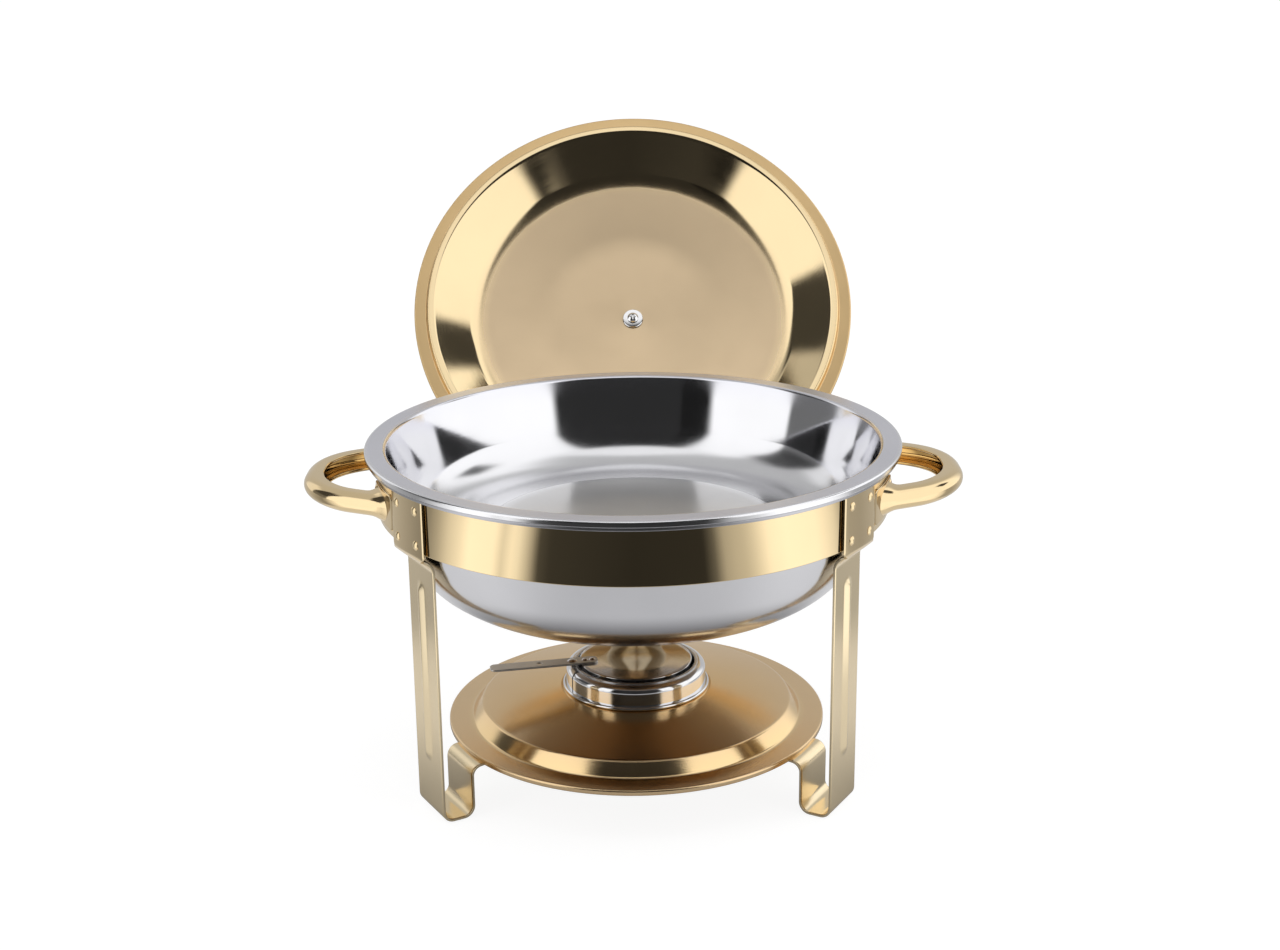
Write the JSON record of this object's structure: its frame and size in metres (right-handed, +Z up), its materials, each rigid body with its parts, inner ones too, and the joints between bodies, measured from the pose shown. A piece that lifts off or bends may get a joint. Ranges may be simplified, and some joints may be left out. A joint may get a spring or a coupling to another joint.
{
  "type": "chafing dish food warmer",
  "caption": "Round chafing dish: nested steel pans in a gold-tone ring stand on strap legs, with a fuel holder on a base plate and a dished lid parked in a rear cradle.",
  "frame": {"origin": "on the table plane under the feet, on the vertical axis of the pans", "axes": "+Z up; the carry handles point along +X and -X; the parked lid and the rear leg are on the +Y side; the front faces -Y"},
  "size_m": [0.385, 0.4966, 0.3512],
  "materials": {
    "frame_band": "mirror polished gold-tone sheet",
    "leg_front_left": "satin gold-tone strap",
    "leg_front_right": "satin gold-tone strap",
    "leg_rear": "satin gold-tone strap",
    "leg_rivets": "polished rivet heads",
    "handle_left": "mirror polished gold-tone channel",
    "handle_right": "mirror polished gold-tone channel",
    "handle_rivets": "polished rivet heads",
    "base_plate": "brushed gold-tone spinning",
    "fuel_sleeve": "polished steel",
    "fuel_cup": "drawn steel",
    "snuffer_cover": "polished steel",
    "snuffer_handle": "satin steel strip",
    "snuffer_rivets": "polished steel",
    "snuffer_pivot_pin": "polished steel",
    "water_pan": "mirror polished steel",
    "food_pan": "mirror polished steel",
    "lid_shell": "satin and polished gold-tone sheet",
    "lid_escutcheon": "polished gold-tone",
    "lid_knob": "polished gold-tone",
    "lid_washer": "bright steel",
    "lid_screw": "bright steel",
    "lid_cradle": "polished gold-tone bar",
    "cradle_bracket": "polished gold-tone strap",
    "bracket_rivets": "polished rivet heads"
  },
  "bodies": {
    "stand": {"frame_band": "frame_band", "leg_front_left": "leg_front_left", "leg_front_right": "leg_front_right", "leg_rear": "leg_rear", "leg_rivets": "leg_rivets", "handle_left": "handle_left", "handle_right": "handle_right", "handle_rivets": "handle_rivets", "base_plate": "base_plate", "lid_cradle": "lid_cradle", "cradle_bracket": "cradle_bracket", "bracket_rivets": "bracket_rivets"},
    "water_pan": {"water_pan": "water_pan"},
    "food_pan": {"food_pan": "food_pan"},
    "lid": {"lid_shell": "lid_shell", "lid_escutcheon": "lid_escutcheon", "lid_knob": "lid_knob", "lid_washer": "lid_washer", "lid_screw": "lid_screw"},
    "fuel_holder": {"fuel_sleeve": "fuel_sleeve", "fuel_cup": "fuel_cup", "snuffer_pivot_pin": "snuffer_pivot_pin"},
    "snuffer": {"snuffer_cover": "snuffer_cover", "snuffer_handle": "snuffer_handle", "snuffer_rivets": "snuffer_rivets"}
  },
  "joints": [
    {"name": "water_pan_lift", "type": "slide", "parent": "stand", "child": "water_pan", "axis": [0, 0, 1], "range_m": [0, 0.1]},
    {"name": "food_pan_lift", "type": "slide", "parent": "water_pan", "child": "food_pan", "axis": [0, 0, 1], "range_m": [0, 0.06]},
    {"name": "lid_lift", "type": "slide", "parent": "stand", "child": "lid", "axis": [0, 0.6428, 0.766], "range_m": [0, 0.3]},
    {"name": "fuel_holder_lift", "type": "slide", "parent": "stand", "child": "fuel_holder", "axis": [0, 0, 1], "range_m": [0, 0.02]},
    {"name": "snuffer_swing", "type": "hinge", "parent": "fuel_holder", "child": "snuffer", "pos_m": [-0.03828, -0.00744, 0.068], "axis": [0, 0, 1], "range_deg": [0, 100]}
  ]
}
